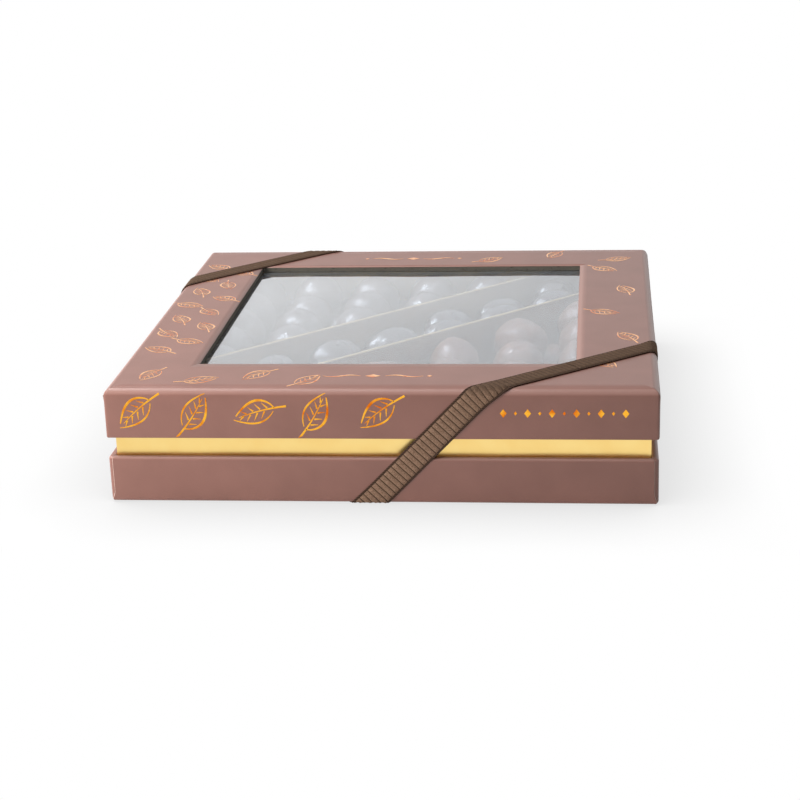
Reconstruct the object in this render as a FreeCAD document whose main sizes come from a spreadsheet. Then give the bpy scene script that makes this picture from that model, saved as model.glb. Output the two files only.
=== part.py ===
# A square rigid gift box for chocolates: a base tray with a gold card collar, a lift-off lid with a film
# window, two diagonal dividers, three kinds of coated chocolates and a narrow elastic ribbon round it all
# at 45 degrees. Millimetres, +Z up, the front towards -Y. The origin is on the ground under the middle of
# the box, which stands on the ribbon's underside.
import FreeCAD, Part
import math
import os
import re

import Sketcher

Vector = FreeCAD.Vector

# Driving dimensions: name, value, what it is
SIZES = (
    ("box_width", 185.0, "side of the square box, over the paper"),
    ("base_height", 15.8, "height of the base, over the paper"),
    ("reveal_height", 6.8, "collar that shows between the base and the lid"),
    ("lid_height", 17.4, "height of the lid, over the paper"),
    ("board_thickness", 1.8, "greyboard of the lid and the base"),
    ("paper_thickness", 0.2, "covering paper"),
    ("stay_thickness", 0.1, "corner stay tape, which spaces the paper off the board's sides"),
    ("stay_leg", 9.0, "reach of a corner stay along each side"),
    ("stay_end_gap", 0.5, "clearance at the ends of a corner stay"),
    ("turn_in", 12.0, "paper turned in behind a rim"),
    ("lid_bevel", 2.2, "soft fold along the lid's top edges"),
    ("base_bevel", 0.8, "soft fold along the base's bottom edges"),
    ("window_border", 27.5, "lid's panel between its side and the window's edge"),
    ("film_margin", 9.0, "film glued under the board, beyond the window"),
    ("film_thickness", 0.2, "window film"),
    ("tape_width", 6.0, "adhesive tape on the film's margin"),
    ("tape_thickness", 0.1, "adhesive tape"),
    ("tape_inset", 1.5, "tape's distance from the window's edge"),
    ("lining_thickness", 0.2, "paper lining under the lid's panel"),
    ("lining_setback", 2.0, "lining's distance from the window's edge"),
    ("lining_clearance", 1.5, "lining's distance from the collar"),
    ("collar_thickness", 1.2, "gold card of the collar"),
    ("collar_clearance", 0.25, "collar's distance from the turned-in paper"),
    ("liner_thickness", 0.2, "gold paper on the floor"),
    ("liner_clearance", 0.3, "floor paper's distance from the collar"),
    ("divider_thickness", 0.8, "gold card of the dividers"),
    ("divider_offset", 16.5, "each divider's distance from the box's diagonal"),
    ("divider_drop", 3.1, "divider's top edge below the collar's"),
    ("divider_tab", 12.0, "end tab folded along the collar"),
    ("round_length", 20.6, "round chocolate, longest way"),
    ("round_width", 20.0, "round chocolate, across"),
    ("almond_length", 26.4, "coated almond, longest way"),
    ("almond_width", 15.9, "coated almond, across"),
    ("milk_length", 21.8, "milk chocolate, longest way"),
    ("milk_width", 19.4, "milk chocolate, across"),
    ("chocolate_gap", 0.4, "clearance about each chocolate"),
    ("chocolate_stray", 0.8, "how far a chocolate lies from its even place"),
    ("headspace", 0.9, "free height between the film and the highest chocolate"),
    ("ribbon_width", 9.0, "elastic ribbon"),
    ("ribbon_thickness", 0.6, "elastic ribbon"),
    ("ribbon_corner", 55.0, "where the ribbon crosses a top edge, from the corner that it cuts off"),
    ("lap_length", 12.0, "overlap where the ribbon's ends are welded"),
    ("lap_inset", 0.3, "overlap's sides inside the ribbon's"),
)

# Levels and widths that follow from the sizes
LEVELS = (
    ("base_bottom", "ribbon_thickness"),
    ("base_rim", "base_bottom + base_height"),
    ("lid_rim", "base_rim + reveal_height"),
    ("lid_top", "lid_rim + lid_height"),
    ("floor_top", "base_bottom + paper_thickness + board_thickness"),
    ("liner_top", "floor_top + liner_thickness"),
    ("collar_top", "lid_top - paper_thickness - board_thickness"),
    ("film_top", "collar_top - tape_thickness"),
    ("lining_top", "film_top - film_thickness"),
    ("fill_top", "lining_top - headspace"),
    ("core_width", "box_width - 2 * paper_thickness"),
    ("board_width", "core_width - 2 * stay_thickness"),
    ("well_width", "board_width - 2 * board_thickness"),
    ("throat_width", "well_width - 2 * paper_thickness"),
    ("collar_width", "throat_width - 2 * collar_clearance"),
    ("inner_width", "collar_width - 2 * collar_thickness"),
    ("window_width", "box_width - 2 * window_border"),
    ("film_width", "window_width + 2 * film_margin"),
    ("tape_span", "window_width + 2 * tape_inset"),
    ("divider_height", "collar_top - divider_drop - liner_top"),
)

# Counts
BEND_STEPS = 4
BEADS_EACH_SIDE = 4

# How unevenly the chocolates lie
MOST_LEAN = math.radians(12)
ALMOND_SWING = math.radians(13)

# Irrational steps that scatter values evenly
GOLDEN = (math.sqrt(5) - 1) / 2
PLASTIC = 1 / (math.cbrt((9 + math.sqrt(69)) / 18) + math.cbrt((9 - math.sqrt(69)) / 18))

LAYERS = ("lower", "upper")

CORNERS = {
    "front_left": (-1, -1),
    "front_right": (1, -1),
    "back_left": (-1, 1),
    "back_right": (1, 1),
}

doc = FreeCAD.newDocument("chocolate_box")
sizes = doc.addObject("Spreadsheet::Sheet", "Sizes")
levels = doc.addObject("Spreadsheet::Sheet", "Levels")
parts = []


def bound(text):
    """The expression with each size and level named by its sheet."""
    owner = {alias: "Sizes" for alias, _, _ in SIZES}
    owner.update({alias: "Levels" for alias, _ in LEVELS})

    def full_name(match):
        word = match.group()
        return f"{owner[word]}.{word}" if word in owner else word

    return re.sub(r"[a-z_]+", full_name, text)


def fill_sheets():
    for row, (alias, value, meaning) in enumerate(SIZES, start=1):
        sizes.set(f"A{row}", meaning)
        sizes.set(f"B{row}", str(value))
        sizes.setAlias(f"B{row}", alias)
    for row, (alias, text) in enumerate(LEVELS, start=1):
        levels.set(f"A{row}", alias)
        levels.set(f"B{row}", "=" + bound(text).replace("Levels.", ""))
        levels.setAlias(f"B{row}", alias)
    doc.recompute()


def size(alias):
    """A size or level as a number."""
    sheet = levels if alias in dict(LEVELS) else sizes
    return float(sheet.get(alias))


def keep(obj, label):
    """Name a finished sub-part and list it for export."""
    obj.Label = label
    parts.append(obj)
    return obj


# Building blocks


def make_box(name, length, width, height, x, y, z):
    """A box whose lowest corner is at x, y, z; every argument is an expression."""
    box = doc.addObject("Part::Box", name)
    for prop, text in (("Length", length), ("Width", width), ("Height", height)):
        box.setExpression(prop, bound(text))
    for axis, text in (("x", x), ("y", y), ("z", z)):
        box.setExpression(f"Placement.Base.{axis}", bound(text))
    return box


def make_slab(name, width, height, z):
    """A square slab centred on the Z axis."""
    middle = f"-({width}) / 2"
    return make_box(name, width, width, height, middle, middle, z)


def make_cut(name, base, tool):
    cut = doc.addObject("Part::Cut", name)
    cut.Base = base
    cut.Tool = tool
    return cut


def add_square(body, name, width, z):
    """A sketch of a square centred on the body's Z axis, at height z."""
    sketch = body.newObject("Sketcher::SketchObject", name)
    ground = next(plane for plane in body.Origin.OriginFeatures if plane.Role == "XY_Plane")
    sketch.AttachmentSupport = (ground, [""])
    sketch.MapMode = "FlatFace"
    sketch.setExpression("AttachmentOffset.Base.z", bound(z))
    start = size("box_width") / 2
    ring = [Vector(-start, -start), Vector(start, -start), Vector(start, start), Vector(-start, start)]
    for i in range(4):
        sketch.addGeometry(Part.LineSegment(ring[i], ring[(i + 1) % 4]))
    for i in range(4):
        sketch.addConstraint(Sketcher.Constraint("Coincident", i, 2, (i + 1) % 4, 1))
    for i in (0, 2):
        sketch.addConstraint(Sketcher.Constraint("Horizontal", i))
    for i in (1, 3):
        sketch.addConstraint(Sketcher.Constraint("Vertical", i))
    sketch.addConstraint(Sketcher.Constraint("Equal", 0, 1))
    sketch.addConstraint(Sketcher.Constraint("Symmetric", 0, 1, 1, 2, -1, 1))
    across = sketch.addConstraint(Sketcher.Constraint("DistanceX", 0, 1, 0, 2, 2 * start))
    sketch.setExpression(f"Constraints[{across}]", bound(width))
    return sketch


def add_pad(body, name, width, height, z):
    pad = body.newObject("PartDesign::Pad", name)
    pad.Profile = add_square(body, name + "_outline", width, z)
    pad.setExpression("Length", bound(height))
    doc.recompute()
    return pad


def add_top_bevel(body, name, feature, bevel):
    """Bevel the four edges of the feature's top face."""
    faces = feature.Shape.Faces
    top = max(range(len(faces)), key=lambda i: faces[i].CenterOfMass.z)
    chamfer = body.newObject("PartDesign::Chamfer", name)
    chamfer.Base = (feature, [f"Face{top + 1}"])
    chamfer.setExpression("Size", bound(bevel))
    doc.recompute()


def add_pocket(body, name, width, depth, z):
    """Hollow the body upwards from height z."""
    pocket = body.newObject("PartDesign::Pocket", name)
    pocket.Profile = add_square(body, name + "_outline", width, z)
    pocket.Reversed = True
    pocket.setExpression("Length", bound(depth))
    doc.recompute()


def make_block(name, width, height, z, bevel):
    """A square block with bevelled top edges."""
    body = doc.addObject("PartDesign::Body", name)
    pad = add_pad(body, name + "_pad", width, height, z)
    add_top_bevel(body, name + "_bevel", pad, bevel)
    return body


# The lid and the base: two paper-covered caps, modelled open side down with the rim at height 0


def inner_bevel(bevel, side_gap):
    """The bevel that keeps one paper thickness inside a covered bevel, this far in from the sides."""
    return f"{bevel} + paper_thickness - ({side_gap}) - (2 - sqrt(2)) * paper_thickness"


def make_cap_board(name, height, bevel, window):
    rise = f"{height} - 2 * paper_thickness"
    board_bevel = inner_bevel(bevel, "paper_thickness + stay_thickness")
    body = make_block(name, "board_width", rise, "paper_thickness", board_bevel)
    add_pocket(body, name + "_well", "well_width", f"{rise} - board_thickness", "paper_thickness")
    if window:
        add_pocket(body, name + "_window", window, rise, "paper_thickness")
    return body


def make_cap_wrap(name, height, bevel, window):
    outside = make_block(name + "_outside", "box_width", height, "0", bevel)
    rise = f"{height} - 2 * paper_thickness"
    core_bevel = inner_bevel(bevel, "paper_thickness")
    inside = make_block(name + "_inside", "core_width", rise, "paper_thickness", core_bevel)
    skin = make_cut(name + "_skin", outside, inside)
    throat = make_slab(name + "_throat", "throat_width", "2 * paper_thickness", "0")
    skin = make_cut(name + "_mouth", skin, throat)
    if window:
        hole = make_slab(name + "_hole", window, "2 * paper_thickness", f"{height} - 2 * paper_thickness")
        skin = make_cut(name + "_window", skin, hole)
    fold_outside = make_slab(name + "_fold_outside", "well_width", "turn_in", "0")
    fold_inside = make_slab(name + "_fold_inside", "throat_width", "turn_in", "0")
    wrap = doc.addObject("Part::Fuse", name)
    wrap.Base = skin
    wrap.Tool = make_cut(name + "_fold", fold_outside, fold_inside)
    return wrap


def make_cap_stay(name, height, bevel, side_x, side_y):
    """An L of tape round one upright corner of the board."""
    low = "paper_thickness + stay_end_gap"
    rise = f"{height} - {bevel} - 2 * (paper_thickness + stay_end_gap)"
    corner = {-1: "-core_width / 2", 1: "core_width / 2 - stay_leg"}
    column = make_box(name + "_column", "stay_leg", "stay_leg", rise, corner[side_x], corner[side_y], low)
    board = make_slab(name + "_board", "board_width", height, "0")
    return make_cut(name, column, board)


def make_cap(name, height, bevel, level, window=None, upside_down=False):
    """A board, its paper and its four corner stays, with the rim set at a level."""
    pieces = [
        (make_cap_board(name + "_board", height, bevel, window), name + "_board"),
        (make_cap_wrap(name + "_wrap", height, bevel, window), name + "_wrap"),
    ]
    for corner, (side_x, side_y) in CORNERS.items():
        label = f"{name}_stay_{corner}"
        turned_y = -side_y if upside_down else side_y
        pieces.append((make_cap_stay(label, height, bevel, side_x, turned_y), label))
    turn = FreeCAD.Rotation(Vector(1, 0, 0), 180 if upside_down else 0)
    for obj, label in pieces:
        obj.Placement = FreeCAD.Placement(Vector(), turn)
        obj.setExpression("Placement.Base.z", bound(level))
        keep(obj, label)


# The window, hung under the lid's panel


def make_window():
    film_z = "film_top - film_thickness"
    keep(make_slab("window_film", "film_width", "film_thickness", film_z), "window_film")
    half = "tape_span / 2"
    outer = f"{half} + tape_width"
    whole = "tape_span + 2 * tape_width"
    strips = {
        "front": (whole, "tape_width", f"-({outer})", f"-({outer})"),
        "back": (whole, "tape_width", f"-({outer})", half),
        "left": ("tape_width", "tape_span", f"-({outer})", f"-({half})"),
        "right": ("tape_width", "tape_span", half, f"-({half})"),
    }
    for side, (length, width, x, y) in strips.items():
        label = "window_tape_" + side
        keep(make_box(label, length, width, "tape_thickness", x, y, "film_top"), label)


def make_lining():
    z = "lining_top - lining_thickness"
    frame = make_slab("lining_outside", "inner_width - 2 * lining_clearance", "lining_thickness", z)
    hole = make_slab("lining_hole", "window_width + 2 * lining_setback", "lining_thickness", z)
    keep(make_cut("lid_lining", frame, hole), "lid_lining")


# The inside of the base


def make_collar():
    """Side strips run the full depth, and the front and back strips butt between them."""
    rise = "collar_top - floor_top"
    far = "collar_width / 2 - collar_thickness"
    strips = {
        "left": ("collar_thickness", "collar_width", "-collar_width / 2", "-collar_width / 2"),
        "right": ("collar_thickness", "collar_width", far, "-collar_width / 2"),
        "front": ("inner_width", "collar_thickness", "-inner_width / 2", "-collar_width / 2"),
        "back": ("inner_width", "collar_thickness", "-inner_width / 2", far),
    }
    for side, (length, width, x, y) in strips.items():
        label = "collar_" + side
        keep(make_box(label, length, width, rise, x, y, "floor_top"), label)


def make_floor_liner():
    width = "inner_width - 2 * liner_clearance"
    keep(make_slab("floor_liner", width, "liner_thickness", "floor_top"), "floor_liner")


def make_divider(label, turn):
    """A card across the tray beside the diagonal, with a tab folded along the collar at each end."""
    reach = "inner_width * sqrt(2)"
    panel = make_box(label + "_panel", reach, "divider_thickness", "divider_height", "0", "0", "liner_top")
    panel.Placement.Rotation = FreeCAD.Rotation(Vector(0, 0, 1), 45)
    along = "inner_width / 2"
    across = "(divider_offset - divider_thickness / 2) / sqrt(2)"
    panel.setExpression("Placement.Base.x", bound(f"-({along}) - {across}"))
    panel.setExpression("Placement.Base.y", bound(f"-({along}) + {across}"))
    foot = "inner_width / 2 - divider_offset * sqrt(2)"
    card = "divider_thickness"
    tab_left = make_box(
        label + "_tab_left", card, "divider_tab", "divider_height",
        "-inner_width / 2", f"-({foot}) - divider_tab", "liner_top",
    )
    tab_back = make_box(
        label + "_tab_back", "divider_tab", card, "divider_height",
        foot, "inner_width / 2 - divider_thickness", "liner_top",
    )
    card_fold = doc.addObject("Part::MultiFuse", label + "_folded")
    card_fold.Shapes = [panel, tab_left, tab_back]
    card_fold.Refine = True
    room = make_slab(label + "_room", "inner_width", "divider_height", "liner_top")
    divider = doc.addObject("Part::Common", label)
    divider.Base = card_fold
    divider.Tool = room
    divider.Placement = FreeCAD.Placement(Vector(), FreeCAD.Rotation(Vector(0, 0, 1), turn))
    keep(divider, label)


# The chocolates: two layers in each compartment, each chocolate resting on what is below it


def fraction(number):
    return number - math.floor(number)


def bead_chain(length, width):
    """Spheres strung along a spheroid's long axis that fill it: offset along the axis, radius."""
    half, radius = length / 2, width / 2
    if half <= radius:
        return [(0.0, radius)]
    focus = half**2 - radius**2
    step = focus / half / BEADS_EACH_SIDE
    offsets = [step * i for i in range(-BEADS_EACH_SIDE, BEADS_EACH_SIDE + 1)]
    return [(offset, radius * math.sqrt(1 - offset**2 / focus)) for offset in offsets]


def push_inside(chain, axis, x, y, walls, gap):
    """Move a chocolate inwards until it clears the walls, which are half planes: a normal and a distance."""
    for _ in walls:
        for nx, ny, room in walls:
            along = nx * axis.x + ny * axis.y
            reach = max(along * offset + bead for offset, bead in chain)
            excess = max(0.0, nx * x + ny * y + reach + gap - room)
            x -= nx * excess
            y -= ny * excess
    return x, y


def resting_height(chain, axis, x, y, placed, gap):
    """How high a chocolate's middle comes to rest on the floor and on what lies there already."""
    floor = size("liner_top")
    height = max(floor + gap / 2 + bead - axis.z * offset for offset, bead in chain)
    for offset, bead in chain:
        bead_x = x + axis.x * offset
        bead_y = y + axis.y * offset
        for other, other_bead in placed:
            apart = bead + other_bead + gap
            plan = (bead_x - other.x) ** 2 + (bead_y - other.y) ** 2
            if plan < apart**2:
                height = max(height, other.z + math.sqrt(apart**2 - plan) - axis.z * offset)
    return height


def nesting_reach(length, width):
    """How far a chocolate's middle is, in plan, from those below it, so that it lies under the fill's top."""
    gap = size("chocolate_gap")
    rise = (size("fill_top") - size("liner_top")) / (width + gap) - 1
    sunk = math.sqrt(1 - min(1.0, max(0.0, rise)) ** 2)
    return (length + gap) * sunk + size("chocolate_stray")


def corner_places(length, width, side, divider):
    """Layer and place: a square grid in the back left corner compartment, and its hollows above it."""
    margin = width / 2 + size("chocolate_gap")
    span = 2 * side - (divider + margin) * math.sqrt(2) - 2 * margin
    least_pitch = max(length + size("chocolate_gap"), nesting_reach(width, width) * math.sqrt(2))
    count = max(1, math.floor(span / least_pitch))
    pitch = span / count
    for layer in range(2):
        for i in range(count + 1 - layer):
            for j in range(count + 1 - layer - i):
                from_left = margin + (i + layer / 2) * pitch
                from_back = margin + (j + layer / 2) * pitch
                yield LAYERS[layer], from_left - side, side - from_back


def band_places(length, width, side, divider):
    """Layer and place: two staggered rows along the middle band, and above them the same half a step on."""
    margin = width / 2 + size("chocolate_gap")
    row = max(0.0, divider - margin)
    end = (side - margin) * math.sqrt(2) - row - (length - width) / 2
    in_a_row = length + size("chocolate_gap") + size("chocolate_stray")
    least_pitch = max(in_a_row, nesting_reach(length, width) * 2)
    count = max(1, math.floor(2 * end / least_pitch))
    pitch = 2 * end / count
    for layer in range(2):
        for line, across in enumerate((-row, row)):
            shift = (line + layer) % 2
            for i in range(count + 1 - shift):
                along = (i + shift / 2) * pitch - end
                yield LAYERS[layer], (along + across) / math.sqrt(2), (along - across) / math.sqrt(2)


def rest_chocolates(length, width, places, walls, turn, swing):
    """Set each chocolate down near its place, turned within swing of turn, unless it would stand too high.
    Gives each one's layer, middle and axis."""
    chain = bead_chain(length, width)
    gap = size("chocolate_gap")
    stray = size("chocolate_stray")
    placed = []
    rests = []
    for count, (layer, x, y) in enumerate(places):
        x += stray * (2 * fraction(count * PLASTIC) - 1)
        y += stray * (2 * fraction(count * PLASTIC**2) - 1)
        yaw = turn + swing * (2 * fraction(count * GOLDEN) - 1)
        lean = MOST_LEAN * (2 * fraction(count * PLASTIC**3) - 1)
        axis = Vector(math.cos(yaw) * math.cos(lean), math.sin(yaw) * math.cos(lean), math.sin(lean))
        x, y = push_inside(chain, axis, x, y, walls, gap)
        middle = Vector(x, y, resting_height(chain, axis, x, y, placed, gap))
        beads = [(middle + axis * offset, bead) for offset, bead in chain]
        if max(place.z + bead for place, bead in beads) <= size("fill_top"):
            rests.append((layer, middle, axis))
            placed.extend(beads)
    return rests


def make_chocolates(kind, rests, half_turn=False):
    """Two groups of one kind, the lower and the upper layer in its compartment."""
    seed = doc.addObject("Part::Ellipsoid", kind + "_chocolate")
    seed.setExpression("Radius1", bound(f"{kind}_length / 2"))
    seed.setExpression("Radius2", bound(f"{kind}_width / 2"))
    seed.setExpression("Radius3", bound(f"{kind}_width / 2"))
    doc.recompute()
    spin = FreeCAD.Rotation(Vector(0, 0, 1), 180 if half_turn else 0)
    for group_layer in LAYERS:
        solids = []
        for layer, middle, axis in rests:
            if layer == group_layer:
                solid = seed.Shape.copy()
                solid.Placement = FreeCAD.Placement(middle, FreeCAD.Rotation(Vector(0, 0, 1), axis))
                solids.append(solid)
        label = f"{kind}_chocolates_{group_layer}"
        group = doc.addObject("Part::Feature", label)
        group.Shape = Part.makeCompound(solids)
        group.Placement = FreeCAD.Placement(Vector(), spin)
        keep(group, label)


def fill_compartments():
    """Round ones in the back left corner, almonds in the middle band, and milk ones in the front right
    corner, which is the back left one turned half round."""
    side = size("inner_width") / 2
    diagonal = math.sqrt(0.5)
    beyond = size("divider_offset") + size("divider_thickness") / 2
    corner_walls = [(-1, 0, side), (0, 1, side), (diagonal, -diagonal, -beyond)]
    for kind, half_turn in (("round", False), ("milk", True)):
        length, width = size(kind + "_length"), size(kind + "_width")
        places = corner_places(length, width, side, beyond)
        rests = rest_chocolates(length, width, places, corner_walls, 0.0, math.pi)
        make_chocolates(kind, rests, half_turn)
    beside_tabs = side - size("divider_thickness")
    within = size("divider_offset") - size("divider_thickness") / 2
    band_walls = [(1, 0, beside_tabs), (-1, 0, beside_tabs), (0, 1, beside_tabs), (0, -1, beside_tabs)]
    band_walls += [(diagonal, -diagonal, within), (-diagonal, diagonal, within)]
    length, width = size("almond_length"), size("almond_width")
    places = band_places(length, width, beside_tabs, within)
    make_chocolates("almond", rest_chocolates(length, width, places, band_walls, math.pi / 4, ALMOND_SWING))


# The ribbon, a closed strip that crosses eight edges of the box at 45 degrees


def ribbon_bends():
    """The eight crossings in order: direction along the edge, normals of the faces before and after it,
    a point on the bend's axis where the strip's centre starts to bend, and the bend's inner radius."""
    half = size("box_width") / 2
    bottom, top = size("base_bottom"), size("lid_top")
    lid_bend, base_bend = size("lid_bevel"), size("base_bevel")
    run = top - bottom - lid_bend - base_bend
    top_start = half - size("ribbon_corner") + lid_bend
    low_start = top_start - math.pi / 2 * lid_bend - run
    low_end = low_start - math.pi / 2 * base_bend
    x, y, z = Vector(1, 0, 0), Vector(0, 1, 0), Vector(0, 0, 1)
    half_loop = [
        (-x, z, -y, Vector(top_start, -half, top), lid_bend),
        (-x, -y, -z, Vector(low_start, -half, bottom), base_bend),
        (y, -z, -x, Vector(-half, low_end, bottom), base_bend),
        (y, -x, z, Vector(-half, low_end + math.pi / 2 * base_bend + run, top), lid_bend),
    ]
    bends = []
    for angle in (0, 180):
        turn = FreeCAD.Rotation(z, angle).multVec
        for edge, before, after, corner, radius in half_loop:
            axis_point = corner - (before + after) * radius
            bends.append((turn(edge), turn(before), turn(after), turn(axis_point), radius))
    return bends


def ribbon_sections():
    """Cross lines of the strip, each along the edge that it bends over: inner left and right, then outer
    right and left."""
    reach = size("ribbon_width") / math.sqrt(2)
    thickness = size("ribbon_thickness")
    sections = []
    for edge, before, after, axis_point, radius in ribbon_bends():
        left = edge * (reach if before.cross(after).dot(edge) > 0 else -reach)
        for step in range(BEND_STEPS + 1):
            angle = math.pi / 2 * step / BEND_STEPS
            normal = before * math.cos(angle) + after * math.sin(angle)
            middle = axis_point + edge * radius * angle
            inner = middle + normal * radius
            outer = middle + normal * (radius + thickness)
            sections.append([inner + left, inner - left, outer - left, outer + left])
    return sections


def make_ribbon():
    sections = ribbon_sections()
    faces = []
    for here, ahead in zip(sections, sections[1:] + sections[:1]):
        for i in range(4):
            j = (i + 1) % 4
            corners = [here[i], here[j], ahead[j], ahead[i]]
            if i % 2 == 0:
                outlines = [corners]
            else:
                outlines = [corners[:3], [corners[0], corners[2], corners[3]]]
            for outline in outlines:
                faces.append(Part.Face(Part.makePolygon(outline + outline[:1])))
    shell = Part.makeShell(faces)
    shell.sewShape()
    solid = Part.makeSolid(shell)
    if solid.Volume < 0:
        solid.reverse()
    ribbon = doc.addObject("Part::Feature", "ribbon_loop")
    ribbon.Shape = solid
    ribbon.Placement = FreeCAD.Placement()
    keep(ribbon, "ribbon_loop")


def make_ribbon_lap():
    """The welded overlap, on the outside of the ribbon where it crosses the back of the base."""
    height = "(base_bottom + base_rim) / 2"
    bend = "(pi / 2 - 1) * lid_bevel"
    x = f"ribbon_corner - box_width / 2 - lid_bevel + {bend} + lid_top - {height}"
    width = "ribbon_width - 2 * lap_inset"
    lap = make_box("ribbon_lap", "lap_length", "ribbon_thickness", width, "0", "0", "0")
    turn = FreeCAD.Rotation(Vector(0, 1, 0), 45)
    lap.Placement.Rotation = turn
    lap.setExpression("Placement.Base.x", bound(f"{x} - (lap_length + {width}) / 2 / sqrt(2)"))
    lap.setExpression("Placement.Base.y", bound("box_width / 2 + ribbon_thickness"))
    lap.setExpression("Placement.Base.z", bound(f"{height} + (lap_length - ({width})) / 2 / sqrt(2)"))
    keep(lap, "ribbon_lap")


def check_and_export():
    doc.recompute()
    for obj in doc.Objects:
        if "Invalid" in obj.State or "Error" in obj.State:
            raise RuntimeError(f"{obj.Label} failed to build")
    for obj in parts:
        if obj.Shape.isNull() or not obj.Shape.isValid() or not obj.Shape.Solids:
            raise RuntimeError(f"{obj.Label} has no valid solid")
    os.makedirs("parts", exist_ok=True)
    for obj in parts:
        obj.Shape.exportStep(f"parts/{obj.Label}.step")
        print(f"{obj.Label}: {len(obj.Shape.Solids)} solids, {obj.Shape.Volume:.1f} mm3")


fill_sheets()
make_cap("base", "base_height", "base_bevel", "base_rim", upside_down=True)
make_cap("lid", "lid_height", "lid_bevel", "lid_rim", window="window_width")
make_window()
make_lining()
make_floor_liner()
make_collar()
make_divider("divider_back_left", 0)
make_divider("divider_front_right", 180)
fill_compartments()
make_ribbon()
make_ribbon_lap()
check_and_export()
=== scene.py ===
# Looks of a square chocolate gift box round its CAD frame: paper, foil, film, card, chocolates and
# ribbon. Sizes are in millimetres until a mesh is made. The frame is in metres, +Z up, the front
# towards -Y.
import math

import bmesh
import bpy
import numpy as np
from mathutils import Matrix, Vector, noise


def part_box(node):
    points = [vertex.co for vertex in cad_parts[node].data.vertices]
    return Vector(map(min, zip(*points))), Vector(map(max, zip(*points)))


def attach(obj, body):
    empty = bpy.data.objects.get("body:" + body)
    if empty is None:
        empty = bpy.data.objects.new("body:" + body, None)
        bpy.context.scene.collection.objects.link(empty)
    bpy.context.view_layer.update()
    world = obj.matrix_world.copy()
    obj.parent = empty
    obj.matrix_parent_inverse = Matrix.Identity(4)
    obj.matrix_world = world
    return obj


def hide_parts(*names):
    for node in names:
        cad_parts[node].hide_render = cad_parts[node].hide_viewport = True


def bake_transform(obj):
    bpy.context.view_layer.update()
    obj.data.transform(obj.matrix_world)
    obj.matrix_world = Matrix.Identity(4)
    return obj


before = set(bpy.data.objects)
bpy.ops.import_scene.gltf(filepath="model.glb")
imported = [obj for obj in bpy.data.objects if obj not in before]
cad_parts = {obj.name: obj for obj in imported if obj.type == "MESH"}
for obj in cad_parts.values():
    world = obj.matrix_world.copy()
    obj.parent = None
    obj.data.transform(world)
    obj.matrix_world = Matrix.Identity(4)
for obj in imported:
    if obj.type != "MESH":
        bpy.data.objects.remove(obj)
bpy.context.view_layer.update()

MM = 0.001


def node_box(node):
    """Lowest and highest corner of a CAD node, in millimetres."""
    low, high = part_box(node)
    return low / MM, high / MM


def node_points(node):
    """Vertex places of a CAD node, in millimetres."""
    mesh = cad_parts[node].data
    places = np.empty(len(mesh.vertices) * 3)
    mesh.vertices.foreach_get("co", places)
    return places.reshape(-1, 3) / MM


# Places read from the frame
lid_low, lid_high = node_box("lid_wrap")
base_low, base_high = node_box("base_wrap")
film_low, film_high = node_box("window_film")
HALF = lid_high.x
LID_RIM = lid_low.z
LID_TOP = lid_high.z
BASE_BOTTOM = base_low.z
BASE_RIM = base_high.z
WINDOW_HALF = float(np.abs(node_points("lid_wrap")[:, :2]).max(axis=1).min())
DIVIDER_TOP = node_box("divider_back_left")[1].z

# Paper and board
WALL = 2.3
TURN_IN = 12.0
PAPER = 0.2
RIM_RADIUS = 0.4
LID_FOLD = 2.4
LID_FOLD_POWER = 1.7
LID_CORNER = 0.8
CREASE_WIDTH = 0.5
CREASE_DEPTH = 0.13
BASE_FOLD = 0.9
BASE_RIM_RADIUS = 0.9
BASE_CORNER = 1.6
SHARP_CORNER = 0.3
BOARD_GAP = 0.08
STAY = 0.08
FLAP_INSET = 1.5
FLAP_LIFT = 0.14
FLAP_MITRE = 4.0
FLAP_CUT = 0.2
# How far down the divider's faces the pale card reaches: the cut edge, then a painted highlight.
CUT_EDGE_AND_LIT_BAND = 0.5
SWAY = 0.05
SWAY_UP = 0.02
CARD_EDGE = 0.18
CARD_STEPS = 3

# Film and foil
GLOSS_SLANT = 0.6
FILM_WAVE = 0.05
FILM_SAG = 0.25
FILM_HELD = 6.0
FOIL_LIFT = 0.04
FOIL_SINK = 0.02

# Ribbon
RIBBON_WIDTH = 9.0
RIB_PITCH = 2.0
RIBBON_BODY = 0.40
RIB_RISE = 0.16
SELVEDGE = 0.75
RIBBON_TOP_BEND = 2.7
RIBBON_LOW_BEND = 0.9
RIBBON_GAP = 0.04
RIBBON_EASE = 4.0
LAP_SHARE = 0.62

# The ribbon's edge cords, as shares of its half width
CORD_START = 0.82
CORD_MIDDLE = 0.92
CORD_REACH = 0.1
CORD_CLEAR = 0.02

# Where the ribbon's middle crosses the box's edges, along each edge: top front, low front, low left,
# top left, top back, low back, low right and top right
RIBBON_CROSSINGS = (35.3, -3.4, -1.2, 42.0, -41.7, 1.2, 1.2, -44.5)

# Floor and light
FLOOR_HALF = 900.0
NEAR_GLOW = 0.93
SHADOW_REACH = 42.0
CONTACT_SHADE = 0.8
AMBIENT = 0.07


# Node and material helpers


def srgb(red, green, blue):
    """A colour given as sRGB bytes, in linear light."""
    linear = []
    for byte in (red, green, blue):
        part = byte / 255
        linear.append(part / 12.92 if part <= 0.04045 else ((part + 0.055) / 1.055) ** 2.4)
    return (*linear, 1.0)


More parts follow.
